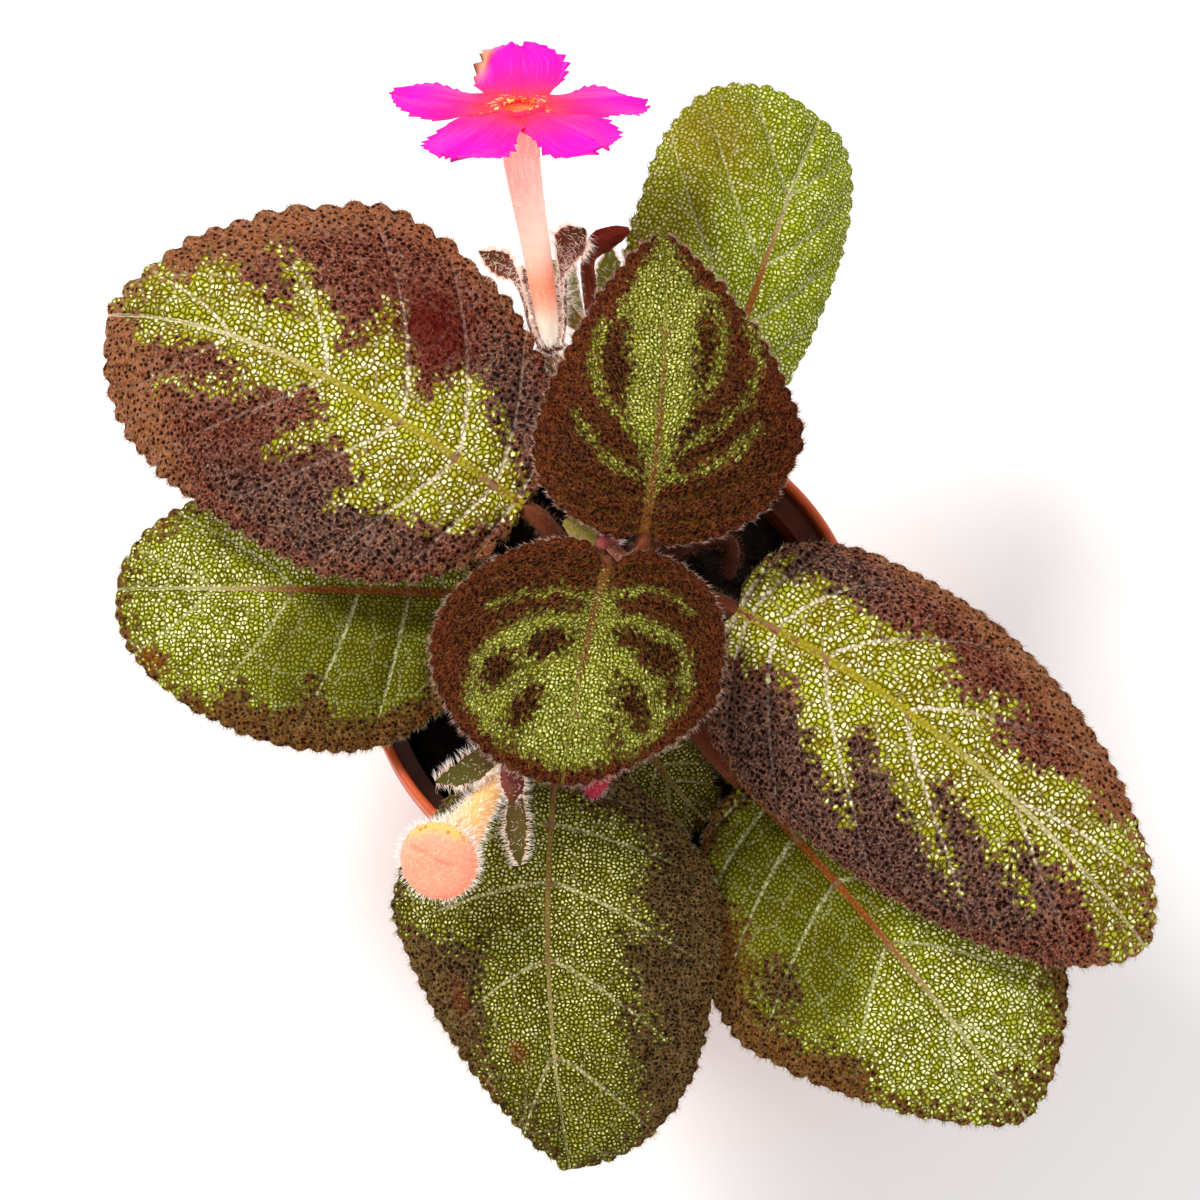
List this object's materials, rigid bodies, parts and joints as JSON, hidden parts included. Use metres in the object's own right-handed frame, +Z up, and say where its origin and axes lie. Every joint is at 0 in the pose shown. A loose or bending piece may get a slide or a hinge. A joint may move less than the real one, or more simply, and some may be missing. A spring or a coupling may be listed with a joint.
{
  "type": "potted flame violet",
  "caption": "Rosette of quilted, toothed, hairy leaves on a short stem with a long-tubed fringed flower and a bud, rooted in dark soil in a small round tapered nursery pot.",
  "frame": {"origin": "centre of the pot's flat underside", "axes": "+Z up along the pot's axis; +X towards the large leaf on the right; +Y towards the open flower"},
  "size_m": [0.182, 0.1932, 0.1476],
  "materials": {
    "leaf_bronze": "matte, raised cells, bronze-brown with green",
    "leaf_green": "matte, raised cells, green with brown margins",
    "young_leaf": "hairy, dark red-brown with a green middle",
    "shoot_pink": "hairy, pink-brown",
    "stem_red": "hairy, red-brown",
    "calyx_brown": "hairy, olive and brown",
    "petal_pink": "satin, hot magenta",
    "tube_rose": "satin, salmon pink to cream",
    "bud_peach": "hairy, salmon pink and peach",
    "bud_crimson": "hairy, crimson pink",
    "withered_red": "dry, dark red",
    "pot_clay": "satin terracotta-coloured plastic",
    "soil_dark": "matte, nearly black"
  },
  "bodies": {
    "root": {"pot": "pot_clay", "soil": "soil_dark", "stem": "stem_red", "runner": "stem_red", "leaf_left_upper": "leaf_bronze", "leaf_right_large": "leaf_bronze", "leaf_top_young": "young_leaf", "leaf_bottom_young": "young_leaf", "leaf_bottom_large": "leaf_green", "leaf_top_back": "leaf_green", "leaf_left_lower": "leaf_green", "leaf_right_lower": "leaf_green", "leaf_small_low": "leaf_green", "shoot_tip": "shoot_pink", "flower_calyx": "calyx_brown", "flower_tube": "tube_rose", "flower_limb": "petal_pink", "bud_calyx": "calyx_brown", "bud_corolla": "bud_peach", "faded_calyx": "calyx_brown", "faded_corolla": "withered_red", "pink_bud": "bud_crimson"}
  },
  "joints": []
}
